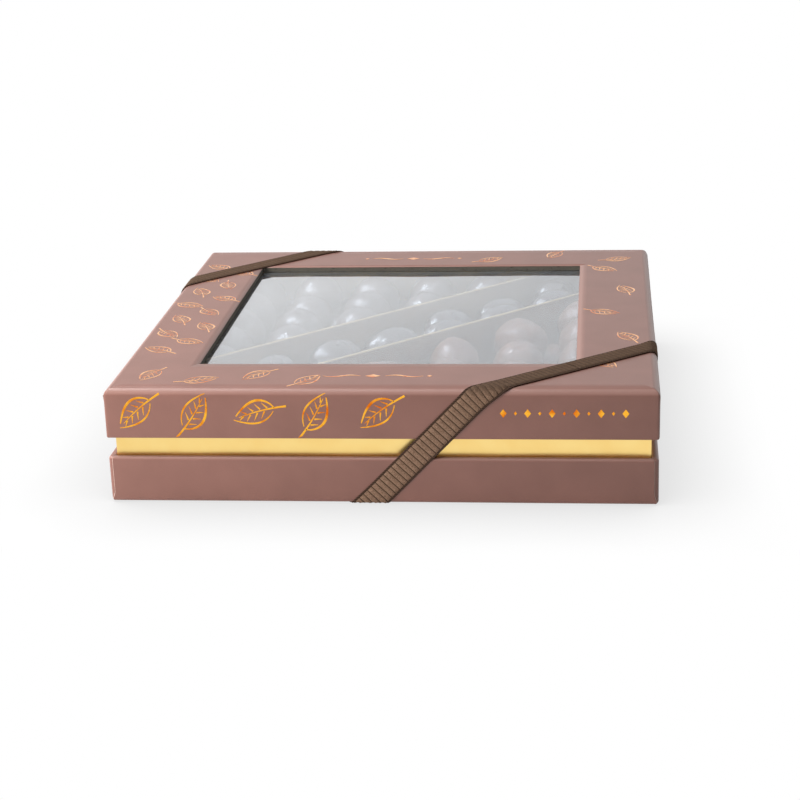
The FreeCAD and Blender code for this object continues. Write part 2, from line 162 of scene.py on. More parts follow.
class Nodes:
    """A node tree, with short ways to add nodes."""

    def __init__(self, tree):
        self.tree = tree

    def add(self, kind, settings=None, **inputs):
        """A node whose inputs are values or other nodes' outputs; an underscore stands for a space."""
        made = self.tree.nodes.new("ShaderNode" + kind)
        for key, value in (settings or {}).items():
            setattr(made, key, value)
        for key, value in inputs.items():
            self.set(made.inputs[key.replace("_", " ")], value)
        return made

    def set(self, socket, value):
        if isinstance(value, bpy.types.NodeSocket):
            self.tree.links.new(value, socket)
        else:
            socket.default_value = value

    def place(self, scale=1.0):
        """Object coordinates in millimetres, divided by scale."""
        coords = self.add("TexCoord").outputs["Object"]
        return self.add("Mapping", Vector=coords, Scale=(1 / MM / scale,) * 3).outputs[0]

    def grain(self, size, detail=2.0, rough=0.5):
        """Noise from 0 to 1 with features of this size."""
        place = self.place(size)
        return self.add("TexNoise", Vector=place, Scale=1.0, Detail=detail, Roughness=rough).outputs[0]

    def upwards(self):
        """How far the surface faces up, from -1 to 1."""
        normal = self.add("NewGeometry").outputs["Normal"]
        return self.add("SeparateXYZ", Vector=normal).outputs[2]

    def math(self, operation, first, second=0.0, third=0.0):
        made = self.add("Math", {"operation": operation})
        for socket, value in zip(made.inputs, (first, second, third)):
            self.set(socket, value)
        return made.outputs[0]

    def ramp(self, value, low, high, to_low=0.0, to_high=1.0):
        made = self.add("MapRange", Value=value)
        limits = {"From Min": low, "From Max": high, "To Min": to_low, "To Max": to_high}
        for key, limit in limits.items():
            made.inputs[key].default_value = limit
        return made.outputs[0]

    def mix(self, factor, first, second, blend="MIX"):
        made = self.add("Mix", {"data_type": "RGBA", "blend_type": blend})
        for index, value in ((0, factor), (6, first), (7, second)):
            self.set(made.inputs[index], value)
        return made.outputs[2]

    def bump(self, height, depth, strength=1.0):
        """A bump of this depth in millimetres."""
        return self.add("Bump", Height=height, Distance=depth * MM, Strength=strength).outputs[0]

    def seen_ray(self, seen, unseen):
        """One value for camera, mirror and transmission rays, another for those that light the object."""
        path = self.add("LightPath")
        rays = [path.outputs[f"Is {kind} Ray"] for kind in ("Camera", "Glossy", "Transmission")]
        any_ray = self.math("MAXIMUM", self.math("MAXIMUM", rays[0], rays[1]), rays[2])
        return self.ramp(any_ray, 0.0, 1.0, unseen, seen)


class Shader(Nodes):
    """A material's node tree."""

    def __init__(self, name):
        self.material = bpy.data.materials.new(name)
        self.material.use_nodes = True
        super().__init__(self.material.node_tree)
        self.surface = self.tree.nodes["Principled BSDF"]

    def finish(self, **inputs):
        """Set the surface shader's inputs."""
        for key, value in inputs.items():
            self.set(self.surface.inputs[key.replace("_", " ")], value)
        return self.material

    def blend(self, share, other):
        """Show this share of another shader in place of the surface's own."""
        both = self.add("MixShader")
        for socket, value in zip(both.inputs, (share, self.surface.outputs[0], other.outputs[0])):
            self.set(socket, value)
        self.set(self.tree.nodes["Material Output"].inputs["Surface"], both.outputs[0])
        return self.material


# Materials


def paper_material(name, colour, fleck, gloss, fold_highlight=None):
    """Coated paper: fine fibre grain, faint mottling and a soft sheen; folds get a painted highlight."""
    shader = Shader(name)
    fibre = shader.grain(0.35, detail=4.0, rough=0.65)
    mottle = shader.grain(14.0, detail=3.0)
    tone = shader.mix(shader.ramp(mottle, 0.3, 0.7), colour, fleck)
    tone = shader.mix(shader.ramp(fibre, 0.25, 0.75, 0.0, 0.5), tone, fleck)
    # Painted highlight: surfaces that face partly up, such as the folds, are lightened towards this
    # colour.
    if fold_highlight:
        upwards = shader.upwards()
        fold = shader.math("MULTIPLY", shader.ramp(upwards, 0.2, 0.5), shader.ramp(upwards, 0.97, 0.85))
        tone = shader.mix(fold, tone, fold_highlight)
    return shader.finish(
        Base_Color=tone,
        Roughness=shader.ramp(fibre, 0.2, 0.8, gloss - 0.06, gloss + 0.06),
        Normal=shader.bump(fibre, 0.03, 0.5),
        Specular_IOR_Level=0.55,
    )


def board_material(name, colour, fleck):
    """Greyboard: coarse pulp with specks and laminations."""
    shader = Shader(name)
    pulp = shader.grain(0.5, detail=5.0, rough=0.7)
    specks = shader.grain(0.9, detail=1.0)
    tone = shader.mix(shader.ramp(pulp, 0.3, 0.7), colour, fleck)
    tone = shader.mix(shader.ramp(specks, 0.62, 0.72, 0.0, 0.5), tone, srgb(24, 22, 20))
    return shader.finish(Base_Color=tone, Roughness=0.9, Normal=shader.bump(pulp, 0.08))


def gold_material(name, colour, deep, roughness):
    """Metallised card with a fine brushed grain."""
    shader = Shader(name)
    fine = shader.grain(0.12, detail=2.0)
    broad = shader.grain(9.0, detail=2.0)
    tone = shader.mix(shader.ramp(broad, 0.3, 0.7, 0.0, 0.5), colour, deep)
    tone = shader.mix(shader.ramp(fine, 0.3, 0.7, 0.0, 0.25), tone, deep)
    return shader.finish(
        Base_Color=tone,
        Metallic=1.0,
        Roughness=shader.ramp(broad, 0.2, 0.8, roughness - 0.04, roughness + 0.05),
        Normal=shader.bump(fine, 0.01, 0.5),
    )


def divider_material(name):
    """Dull gold card with its faces painted dark as painted shade; its top edge shows the bare card, and a
    narrow band of the faces below it is painted pale as a painted highlight.
    """
    shader = Shader(name)
    broad = shader.grain(9.0, detail=2.0)
    fibre = shader.grain(0.3, detail=3.0)
    # Painted shade: the faces' dark gold stands in for the shade inside the box.
    tone = shader.mix(shader.ramp(broad, 0.3, 0.7), srgb(146, 108, 60), srgb(128, 92, 48))
    height = shader.add("SeparateXYZ", Vector=shader.place()).outputs[2]
    # The real cut edge on top, and below it a band of the faces painted pale as a painted highlight.
    cut_edge_and_lit_band = shader.ramp(height, DIVIDER_TOP - CUT_EDGE_AND_LIT_BAND, DIVIDER_TOP - CUT_EDGE_AND_LIT_BAND / 2)
    return shader.finish(
        Base_Color=shader.mix(cut_edge_and_lit_band, tone, srgb(206, 180, 128)),
        Metallic=shader.ramp(cut_edge_and_lit_band, 0.0, 1.0, 0.5, 0.0),
        Roughness=shader.ramp(fibre, 0.3, 0.7, 0.45, 0.55),
        Normal=shader.bump(fibre, 0.02, 0.5),
    )


def foil_material():
    """Hot-stamped foil: orange gold, slightly crinkled, with random patches of painted glint, and a
    painted reflection that makes it paler on top and deeper orange on the front.
    """
    shader = Shader("gold_foil")
    crinkle = shader.grain(1.6, detail=3.0)
    patch = shader.grain(4.5, detail=2.0)
    # Random patches of painted glint, from deep to bright.
    painted_glint = shader.ramp(patch, 0.32, 0.56)
    front = shader.mix(painted_glint, srgb(226, 116, 22), srgb(255, 184, 60))
    top = shader.mix(painted_glint, srgb(226, 136, 84), srgb(255, 196, 142))
    # Painted reflection: paler where the foil faces up, deeper orange on the front.
    tone = shader.mix(shader.ramp(shader.upwards(), 0.3, 0.95), front, top)
    return shader.finish(
        Base_Color=tone,
        Metallic=1.0,
        Roughness=shader.ramp(crinkle, 0.3, 0.7, 0.2, 0.32),
        Normal=shader.bump(crinkle, 0.03),
    )


def film_material():
    """Clear film, glossier towards the left, which lets lamps through to what lies under it."""
    shader = Shader("clear_film")
    haze = shader.grain(22.0, detail=2.0)
    spot = shader.add("SeparateXYZ", Vector=shader.place()).outputs
    rightwards = shader.math("MULTIPLY_ADD", spot[1], -GLOSS_SLANT, spot[0])
    shader.finish(
        Base_Color=srgb(236, 242, 250),
        Roughness=shader.ramp(haze, 0.2, 0.8, 0.01, 0.05),
        IOR=1.6,
        Transmission_Weight=0.94,
        Coat_Weight=shader.ramp(rightwards, -WINDOW_HALF, GLOSS_SLANT * WINDOW_HALF, 1.0, 0.15),
        Coat_IOR=1.7,
        Coat_Roughness=0.03,
    )
    clear = shader.add("BsdfTransparent", Color=(0.6, 0.6, 0.61, 1.0))
    return shader.blend(shader.add("LightPath").outputs["Is Shadow Ray"], clear)


def tape_material(name, colour, roughness):
    """Adhesive or stay tape with fine fibres."""
    shader = Shader(name)
    fibre = shader.grain(0.4, detail=4.0, rough=0.7)
    darker = tuple(0.8 * part for part in colour[:3]) + (1.0,)
    return shader.finish(
        Base_Color=shader.mix(shader.ramp(fibre, 0.3, 0.7), colour, darker),
        Roughness=roughness,
        Normal=shader.bump(fibre, 0.02),
    )


def chocolate_material(name, colour, bloom, roughness, coat):
    """Panned chocolate: a polished coat over a faintly uneven skin."""
    shader = Shader(name)
    cloud = shader.grain(6.0, detail=3.0)
    pores = shader.grain(0.7, detail=3.0)
    tone = shader.mix(shader.ramp(cloud, 0.3, 0.75), colour, bloom)
    return shader.finish(
        Base_Color=tone,
        Roughness=shader.ramp(cloud, 0.25, 0.75, roughness - 0.06, roughness + 0.08),
        Normal=shader.bump(pores, 0.02, 0.6),
        Coat_Weight=coat,
        Coat_IOR=1.9,
        Coat_Roughness=0.6 * roughness,
    )


def ribbon_material():
    """Grosgrain: rounded ribs with painted shade in the lines between them, speckled by the weave, and
    corded edges; its front is lightened as painted light and its top darkened as painted shade."""
    shader = Shader("grosgrain_ribbon")
    marks = shader.add("SeparateXYZ", Vector=shader.add("UVMap").outputs[0])
    along, across = marks.outputs[0], marks.outputs[1]
    from_middle = shader.math("ABSOLUTE", shader.math("SUBTRACT", shader.math("FRACT", along), 0.5))
    upwards = shader.upwards()
    # Painted shade in the lines between the ribs, weaker where the ribbon faces up.
    depth = shader.ramp(upwards, 0.2, 0.8, 1.0, 0.45)
    groove_shade = shader.math("MULTIPLY", shader.ramp(from_middle, 0.37, 0.47), depth)
    weave = shader.grain(0.3, detail=3.0, rough=0.7)
    tone = shader.mix(shader.ramp(weave, 0.3, 0.7), srgb(78, 59, 47), srgb(134, 108, 89))
    tone = shader.mix(groove_shade, tone, srgb(40, 29, 23))
    # Painted light and shade: the front is lightened and the top darkened by how the surface faces.
    tone = shader.mix(1.0, tone, shader.ramp(upwards, 0.2, 0.9, 1.8, 0.8), "MULTIPLY")
    edge = shader.math("ABSOLUTE", shader.math("SUBTRACT", across, 0.5))
    border = 0.5 - SELVEDGE / RIBBON_WIDTH
    selvedge = shader.ramp(edge, border - 0.01, border + 0.01)
    turns = shader.math("MULTIPLY_ADD", along, 2.0, shader.math("MULTIPLY", across, 12.0))
    twist = shader.ramp(shader.math("FRACT", turns), 0.3, 0.8)
    cord = shader.mix(twist, srgb(92, 72, 60), srgb(52, 39, 32))
    tone = shader.mix(selvedge, tone, cord)
    return shader.finish(
        Base_Color=tone,
        Roughness=0.85,
        Normal=shader.bump(weave, 0.06),
        Specular_IOR_Level=0.1,
    )


def plain_floor_material():
    """White floor that keeps the shadow near the box: where it is seen, most of its white is a glow,
    dimmed next to the box as a painted shade.
    """
    shader = Shader("white_floor")
    speck = shader.grain(30.0, detail=2.0)
    shader.finish(
        Base_Color=shader.mix(shader.ramp(speck, 0.0, 1.0), srgb(247, 247, 247), srgb(249, 249, 249)),
        Roughness=0.9,
        Specular_IOR_Level=0.0,
    )
    spot = shader.add("SeparateXYZ", Vector=shader.place())
    along_x, along_y = (shader.math("ABSOLUTE", spot.outputs[axis]) for axis in range(2))
    away = shader.math("MAXIMUM", along_x, along_y)
    share = shader.ramp(away, HALF, HALF + SHADOW_REACH, NEAR_GLOW, 1.0)
    # Painted shade: near the box the glow is dimmed by ambient occlusion, down to CONTACT_SHADE.
    open_sky = shader.add("AmbientOcclusion", Distance=SHADOW_REACH * MM).outputs["AO"]
    level = shader.ramp(open_sky, 0.5, 1.0, CONTACT_SHADE, 1.0)
    glow = shader.add("Emission", Color=(1.0, 1.0, 1.0, 1.0), Strength=level)
    return shader.blend(shader.math("MULTIPLY", share, shader.seen_ray(1.0, 0.0)), glow)


# Mesh helpers


def make_piece(name, points, faces, materials, face_material=None, sharp=35.0):
    """An object from points in millimetres."""
    mesh = bpy.data.meshes.new(name)
    mesh.from_pydata((np.asarray(points) * MM).tolist(), [], faces)
    for material in materials:
        mesh.materials.append(material)
    if face_material is not None:
        mesh.polygons.foreach_set("material_index", face_material)
    mesh.polygons.foreach_set("use_smooth", [True] * len(mesh.polygons))
    mesh.set_sharp_from_angle(angle=math.radians(sharp))
    piece = bpy.data.objects.new(name, mesh)
    bpy.context.scene.collection.objects.link(piece)
    return piece


def face_outwards(piece):
    """Turn the faces of closed shells outwards."""
    shell = bmesh.new()
    shell.from_mesh(piece.data)
    bmesh.ops.recalc_face_normals(shell, faces=shell.faces)
    shell.to_mesh(piece.data)
    shell.free()
    return piece


def tube_faces(start, rows, columns, closed_rows=False):
    """Quads of a grid of points whose columns close on themselves."""
    faces = []
    for row in range(rows if closed_rows else rows - 1):
        ahead = (row + 1) % rows
        for column in range(columns):
            side = (column + 1) % columns
            corners = [(row, column), (row, side), (ahead, side), (ahead, column)]
            faces.append([start + r * columns + c for r, c in corners])
    return faces


def smoothstep(value):
    value = min(1.0, max(0.0, value))
    return value * value * (3 - 2 * value)


def swayed(points):
    """Hand-wrapped paper isn't quite true: shift points by a slow wave."""
    points = np.array(points, float)
    x, y, z = points.T
    shift = np.column_stack([
        SWAY * np.sin(y / 23 + z / 11 + 0.7),
        SWAY * np.sin(x / 27 + z / 13 + 2.1),
        SWAY_UP * (np.sin(x / 31 + y / 37 + 4.0) - 1.0),
    ])
    return points + shift


# Paper skins


class Skin:
    """Paper round a square box: one side's profile as insets from the side, heights and corner radii."""

    def __init__(self, profile, outwards):
        self.inset, self.height, self.corner = (np.array(column, float) for column in zip(*profile))
        steps = np.hypot(np.diff(self.inset), np.diff(self.height))
        self.along = np.concatenate(([0.0], np.cumsum(steps)))
        self.outwards = outwards

    def at(self, v):
        return np.interp(v, self.along, self.inset), np.interp(v, self.along, self.height)

    def distance_to(self, inset, height):
        """How far along the profile its point nearest to this one is."""
        return self.along[np.argmin(np.hypot(self.inset - inset, self.height - height))]

    def place(self, side, u, v, lift):
        """A point on a side, u along it and v along the profile, lifted off the paper."""
        small = 0.05
        inset, height = self.at(v)
        inset_behind, height_behind = self.at(v - small)
        inset_ahead, height_ahead = self.at(v + small)
        run, rise = inset_ahead - inset_behind, height_ahead - height_behind
        scale = self.outwards * lift / max(1e-9, math.hypot(run, rise))
        y = inset - HALF + rise * scale
        return turned(side, u, y, height - run * scale)

    def rings(self, stations):
        rows = []
        for inset, height, corner in zip(self.inset, self.height, self.corner):
            rows.append([(x, y, height) for x, y in rounded_square(HALF - inset, corner, stations)])
        return rows


def turned(side, x, y, z):
    """A point of the front side moved to another side: front, right, back and left."""
    for _ in range(side):
        x, y = -y, x
    return x, y, z


def rounded_square(half, corner, stations, steps=5):
    """An outline, counter-clockwise from the front left; stations share out each straight side."""
    corner = min(corner, 0.9 * half)
    straight = half - corner
    outline = []
    for side in range(4):
        edge = [(station * straight, -half) for station in stations]
        for step in range(1, steps):
            angle = math.pi / 2 * step / steps
            edge.append((straight + corner * math.sin(angle), -straight - corner * math.cos(angle)))
        outline += [turned(side, x, y, 0.0)[:2] for x, y in edge]
    return outline


def arc(centre, radius, start, end, steps):
    """Points of an arc in the plane of insets and heights, without its first point."""
    points = []
    for step in range(1, steps + 1):
        angle = math.radians(start + (end - start) * step / steps)
        points.append((centre[0] + radius * math.cos(angle), centre[1] + radius * math.sin(angle)))
    return points


def with_corners(points, corner):
    """Profile points with the radii of their outlines' corners, for this radius at the side itself."""
    return [(inset, height, max(SHARP_CORNER, corner - inset)) for inset, height in points]


def rim_profile(rim, up, radius):
    """A folded rim from the outside face to the end of the paper turned in behind the wall."""
    points = arc((radius, rim + up * radius), radius, 180, 180 + up * 90, 5)
    inner = WALL - RIM_RADIUS
    points += [(inner, rim)]
    points += arc((inner, rim + up * RIM_RADIUS), RIM_RADIUS, -up * 90, 0, 4)
    points += [(WALL, rim + up * TURN_IN * share) for share in (0.35, 0.7, 1.0)]
    return points


def lid_profile():
    """From the window's edge over the panel, crease and soft fold, down the side and round the rim."""
    border = HALF - WINDOW_HALF
    crease = LID_FOLD + CREASE_WIDTH
    points = [(border + (crease - border) * share, LID_TOP) for share in np.linspace(0, 1, 9)]
    for share in (0.25, 0.5, 0.75):
        dip = CREASE_DEPTH * math.sin(math.pi * share) ** 2
        points.append((LID_FOLD + CREASE_WIDTH * (1 - share), LID_TOP - dip))
    for angle in np.linspace(0, math.pi / 2, 9):
        inwards = max(0.0, math.sin(angle)) ** (2 / LID_FOLD_POWER)
        down = max(0.0, math.cos(angle)) ** (2 / LID_FOLD_POWER)
        points.append((LID_FOLD * (1 - inwards), LID_TOP - LID_FOLD * (1 - down)))
    points += [(0.0, height) for height in np.linspace(LID_TOP - LID_FOLD, LID_RIM + RIM_RADIUS, 6)[1:]]
    return with_corners(points + rim_profile(LID_RIM, 1, RIM_RADIUS), LID_CORNER)


def base_profile():
    """From the middle of the underside over the bottom fold, up the side and round the rim."""
    low, high = BASE_BOTTOM + BASE_FOLD, BASE_RIM - BASE_RIM_RADIUS
    points = [(HALF + (BASE_FOLD - HALF) * share, BASE_BOTTOM) for share in (0.01, 0.3, 0.6, 0.85, 1.0)]
    points += arc((BASE_FOLD, low), BASE_FOLD, 270, 180, 5)
    points += [(0.0, height) for height in np.linspace(low, high, 6)[1:]]
    return with_corners(points + rim_profile(BASE_RIM, -1, BASE_RIM_RADIUS), BASE_CORNER)


STATIONS = np.sin(np.linspace(-math.pi / 2, math.pi / 2, 25))


def level_side_creases(points):
    """The crease beside the lid's fold shows along the front and back, not on the other two sides."""
    levelled = []
    for x, y, z in points:
        beside_fold = LID_FOLD < HALF - abs(x) < LID_FOLD + CREASE_WIDTH
        levelled.append((x, y, LID_TOP if beside_fold and abs(x) > abs(y) else z))
    return levelled


def wrap_piece(name, skin, material, closed_middle):
    """The skin as one sheet of paper with thickness."""
    rows = skin.rings(STATIONS)
    columns = len(rows[0])
    points = [point for row in rows for point in row]
    if not closed_middle:
        points = level_side_creases(points)
    faces = tube_faces(0, len(rows), columns)
    if skin.outwards > 0:
        faces = [face[::-1] for face in faces]
    if closed_middle:
        faces.append(list(range(columns))[::-1])
    piece = make_piece(name, swayed(points), faces, [material])
    thick = piece.modifiers.new("paper", "SOLIDIFY")
    thick.thickness = PAPER * MM
    thick.offset = -1.0
    return piece


def capped_tube(name, rows, materials, edge_columns=(), end_material=0):
    """A closed solid from rings of points; edge columns take the second material, ends the one given."""
    columns = len(rows[0])
    points = [point for row in rows for point in row]
    faces = tube_faces(0, len(rows), columns)
    face_material = [1 if index % columns in edge_columns else 0 for index in range(len(faces))]
    faces.append(list(range(columns)))
    faces.append([len(points) - 1 - index for index in range(columns)])
    face_material += [end_material] * 2
    return face_outwards(make_piece(name, points, faces, materials, face_material))


def base_board_piece(material):
    """The base's board, a tray with rounded edges just inside its paper."""
    gap = PAPER + BOARD_GAP
    floor = node_box("floor_liner")[0].z
    low, high = BASE_BOTTOM + BASE_FOLD, BASE_RIM - BASE_RIM_RADIUS
    middle = 0.99 * HALF
    points = [(middle, BASE_BOTTOM + gap), (BASE_FOLD, BASE_BOTTOM + gap)]
    points += arc((BASE_FOLD, low), BASE_FOLD - gap, 270, 180, 5)
    points += [(gap, high)]
    points += arc((BASE_RIM_RADIUS, high), BASE_RIM_RADIUS - gap, 180, 90, 5)
    points += [(WALL - gap, BASE_RIM - gap), (WALL - gap, floor), (middle, floor)]
    rows = [swayed(row) for row in Skin(with_corners(points, BASE_CORNER), -1).rings(STATIONS)]
    return capped_tube("base_tray", rows, [material])


def stay_piece(name, node, corner, material):
    """A strip of tape bent round a corner of the board, under the paper."""
    low, high = node_box(node)
    sign_x = math.copysign(1.0, low.x)
    sign_y = math.copysign(1.0, low.y)
    reach = max(abs(low.x), abs(high.x))
    leg = reach - min(abs(low.x), abs(high.x))
    inset = HALF - reach
    centre = HALF - corner
    plan = [(1.0, 0.0, 0.0, -leg)]
    plan += [(math.cos(angle), math.sin(angle), 0.0, 0.0) for angle in np.linspace(0, math.pi / 2, 7)]
    plan += [(0.0, 1.0, -leg, 0.0)]
    rows = []
    for along_x, along_y, shift_x, shift_y in plan:
        row = []
        for depth, height in ((0.0, low.z), (0.0, high.z), (STAY, high.z), (STAY, low.z)):
            radius = corner - inset - depth
            x = centre + radius * along_x + shift_x
            y = centre + radius * along_y + shift_y
            row.append((sign_x * x, sign_y * y, height))
        rows.append(row)
    return capped_tube(name, rows, [material])


def flap_piece(name, skin, side, first, last, materials):
    """A glued-down flap: it covers a side almost to its corners, meets them at its first end, and has
    pale cut edges."""
    columns = 15
    cut_edges = (columns - 1, 2 * columns - 1)
    rows = []
    for v in np.linspace(first, last, 36):
        gap = FLAP_INSET * (0.25 + 0.75 * smoothstep((v - first) / FLAP_MITRE))
        half = HALF - skin.at(v)[0] - gap
        row = [skin.place(side, u, v, FLAP_LIFT) for u in np.linspace(-half, half, columns)]
        half += FLAP_CUT
        row += [skin.place(side, u, v, -BOARD_GAP) for u in np.linspace(half, -half, columns)]
        rows.append(swayed(row))
    return capped_tube(name, rows, materials, cut_edges, 1)


# Foil


def leaf_strokes(length):
    """A leaf along +x: two edges, a midrib with a stalk, and side veins, each as points and widths."""
    broad = 0.27 * length
    stalk = 0.28
    midrib = 0.86

    def breadth(share):
        return broad * math.sin(math.pi * share**0.8) ** 0.9 if 0 < share < 1 else 0.0

    def bend(x, y):
        return x, y + 0.12 * length * (x / length) ** 2

    strokes = []
    count = 15
    swell = [0.35 + 0.65 * math.sin(math.pi * (index + 0.6) / count) for index in range(count)]
    for sign, first, last, weight in ((1, 0.04, 1.0, 0.045), (-1, 0.0, 0.93, 0.062)):
        shares = np.linspace(first, last, count)
        points = [bend(length * share, sign * breadth(share)) for share in shares]
        strokes.append((points, [length * weight * part for part in swell]))
    shares = np.linspace(-stalk, midrib, 12)
    strokes.append((
        [bend(length * share, 0.0) for share in shares],
        [length * 0.05 * (1.05 - 0.75 * (share + stalk) / (midrib + stalk)) for share in shares],
    ))
    for sign in (1, -1):
        for vein in range(4):
            root = 0.16 + 0.17 * vein + 0.04 * sign
            tip = root + 0.15
            reach = 0.74 * breadth(tip)
            steps = np.linspace(0.18, 1.0, 6)
            points = []
            for step in steps:
                along = root + (tip - root) * step**0.8
                points.append(bend(length * along, sign * reach * step))
            strokes.append((points, [length * 0.04 * (1.1 - step) + 0.08 for step in steps]))
    return strokes


def lozenge_stroke(x, y, half_width, half_height):
    """A solid diamond, as a stroke whose width swells and shrinks."""
    shares = np.linspace(-1, 1, 5)
    points = [(x + half_width * share, y) for share in shares]
    return points, [2 * half_height * (1 - abs(share)) + 0.02 for share in shares]


def rule_strokes(reach):
    """A plain printer's rule: a lozenge between two tapered waves that end in dots."""
    start = 4.2
    swing = 0.9
    shares = np.linspace(0, 1, 24)
    strokes = [lozenge_stroke(0.0, 0.0, 2.6, 1.7)]
    for sign in (1, -1):
        points = []
        for share in shares:
            along = start + (reach - start) * share
            points.append((sign * along, swing * math.sin(2 * math.pi * share)))
        strokes.append((points, [0.25 + 0.75 * math.sin(math.pi * share) ** 1.5 for share in shares]))
        strokes.append(lozenge_stroke(sign * (reach + 2.2), 0.0, 0.9, 0.9))
    return strokes


def bead_strokes(reach, count):
    """A row of lozenges, large and small by turns."""
    strokes = []
    for index in range(count):
        x = reach * (2 * index / (count - 1) - 1)
        tall = 1.5 if index % 2 == 0 else 0.7
        strokes.append(lozenge_stroke(x, 0.0, 0.75 * tall, tall))
    return strokes


class Foil:
    """Collects foil strokes laid on the lid's skin and makes them one piece."""

    def __init__(self, skin):
        self.skin = skin
        self.points = []
        self.faces = []

    def lay(self, strokes, side, u, v, angle):
        """Lay a motif with its origin at u, v of a side; v runs outwards and down, the motif's y up."""
        cosine, sine = math.cos(angle), math.sin(angle)
        for line, widths in strokes:
            line = np.array(line)
            ahead = np.gradient(line, axis=0)
            ahead /= np.maximum(1e-9, np.hypot(*ahead.T))[:, None]
            across = np.column_stack([-ahead[:, 1], ahead[:, 0]]) * np.array(widths)[:, None] / 2
            start = len(self.points)
            for left, right in zip(line + across, line - across):
                corners = ((left, FOIL_LIFT), (right, FOIL_LIFT), (right, -FOIL_SINK), (left, -FOIL_SINK))
                for (x, y), lift in corners:
                    place_u = u + cosine * x - sine * y
                    place_v = v - sine * x - cosine * y
                    self.points.append(self.skin.place(side, place_u, place_v, lift))
            self.faces += tube_faces(start, len(line), 4)
            last = start + 4 * (len(line) - 1)
            self.faces.append([start + 3, start + 2, start + 1, start])
            self.faces.append([last, last + 1, last + 2, last + 3])

    def make(self, name, material):
        return face_outwards(make_piece(name, swayed(self.points), self.faces, [material]))


def lay_foil(skin, material):
    """Leaves, close on the left of the box and sparse on the right, and three plain ornaments."""
    foil = Foil(skin)
    crease = skin.distance_to(LID_FOLD, LID_TOP)
    face = skin.distance_to(0.0, (LID_TOP + LID_RIM) / 2 - 0.5)
    # Side, first and last place along it, pitch, a leaf's length, the row's place and its stagger
    groups = (
        (0, (-82.0, 2.0), 20.5, 14.5, face, 0.6),
        (0, (-80.0, -24.0), 18.5, 12.0, crease - 10.5, 3.2),
        (1, (-64.0, 70.0), 31.0, 11.5, crease - 11.5, 4.5),
        (2, (-80.0, -26.0), 26.0, 11.0, crease - 11.0, 4.0),
        (3, (-66.0, 58.0), 19.0, 11.5, crease - 6.5, 0.8),
        (3, (-56.5, 50.0), 19.0, 11.0, crease - 17.0, 1.5),
        (3, (-76.0, 76.0), 25.0, 14.0, face, 0.6),
    )
    for number, (side, (first, last), pitch, length, middle, stagger) in enumerate(groups):
        leaf = leaf_strokes(length)
        to_middle = 0.45 * length
        for index in range(int((last - first) / pitch) + 1):
            turn = 1 if index % 2 else -1
            tilt = math.radians(34 if index % 2 else 216) + 0.45 * math.sin(2.4 * index + 1.7 * number)
            u = first + index * pitch - to_middle * math.cos(tilt)
            v = middle + turn * stagger + to_middle * math.sin(tilt)
            foil.lay(leaf, side, u, v, tilt)
    for side, u in ((0, -3.0), (2, 4.0)):
        foil.lay(rule_strokes(17.0), side, u, crease - 12.0, 0.0)
    foil.lay(bead_strokes(20.0, 11), 0, 61.5, face, 0.0)
    return foil.make("lid_foil", material)


# Film, card and chocolates


def film_piece(material):
    """The window film, taut but faintly wavy where nothing backs it."""
    count = 57
    span = np.linspace(film_low.x, film_high.x, count)
    points = []
    for surface in (film_high.z, film_low.z):
        for y in span:
            for x in span:
                points.append((x, y, surface + film_wave(x, y)))
    faces = []
    layer = count * count
    for row in range(count - 1):
        for column in range(count - 1):
            corner = row * count + column
            quad = [corner, corner + 1, corner + count + 1, corner + count]
            faces.append(quad)
            faces.append([layer + index for index in quad[::-1]])
    rim = list(range(count - 1)) + [count - 1 + count * i for i in range(count - 1)]
    rim += [layer - 1 - i for i in range(count - 1)] + [count * (count - 1 - i) for i in range(count - 1)]
    for here, ahead in zip(rim, rim[1:] + rim[:1]):
        faces.append([ahead, here, here + layer, ahead + layer])
    return make_piece("window_film_sheet", points, faces, [material])


def film_wave(x, y):
    """Height of the film's waves, which die out at the window's edges."""
    edge = min(WINDOW_HALF - abs(x), WINDOW_HALF - abs(y))
    slack = smoothstep(edge / FILM_HELD)
    wave = 0.5 * math.sin(x / 5.1 + 0.35 * y / 5.1 + 0.4)
    wave += 0.6 * math.sin(0.5 * x / 6.3 - y / 6.7 + 1.9)
    wave += 0.8 * math.sin(x / 14.0 + y / 17.0)
    sag = (1 - (x / WINDOW_HALF) ** 2) * (1 - (y / WINDOW_HALF) ** 2)
    return slack * (FILM_WAVE * wave - FILM_SAG * max(0.0, sag))


def card_strip(name, node, materials):
    """A strip of gold card with softened edges; its cut edges show the raw card."""
    low, high = node_box(node)
    size = high - low
    along = 0 if size.x > size.y else 1
    thin = 1 - along
    top_edge = CARD_STEPS - 1
    low_edge = 3 * CARD_STEPS - 1
    section = []
    for centre_a, centre_z, first in (
        (high[thin] - CARD_EDGE, high.z - CARD_EDGE, 0),
        (low[thin] + CARD_EDGE, high.z - CARD_EDGE, 90),
        (low[thin] + CARD_EDGE, low.z + CARD_EDGE, 180),
        (high[thin] - CARD_EDGE, low.z + CARD_EDGE, 270),
    ):
        for turn in np.linspace(0, 90, CARD_STEPS):
            angle = math.radians(first + turn)
            across = centre_a + CARD_EDGE * math.cos(angle)
            section.append((across, centre_z + CARD_EDGE * math.sin(angle)))
    rows = []
    for station in np.linspace(low[along], high[along], 41):
        bow = 0.08 * math.sin(station / 9.0) + 0.05 * math.sin(station / 4.1 + 1.0)
        row = [(station, across + bow, height) for across, height in section]
        rows.append(row if along == 0 else [(y, x, z) for x, y, z in row])
    return capped_tube(name, rows, materials, (top_edge, low_edge))


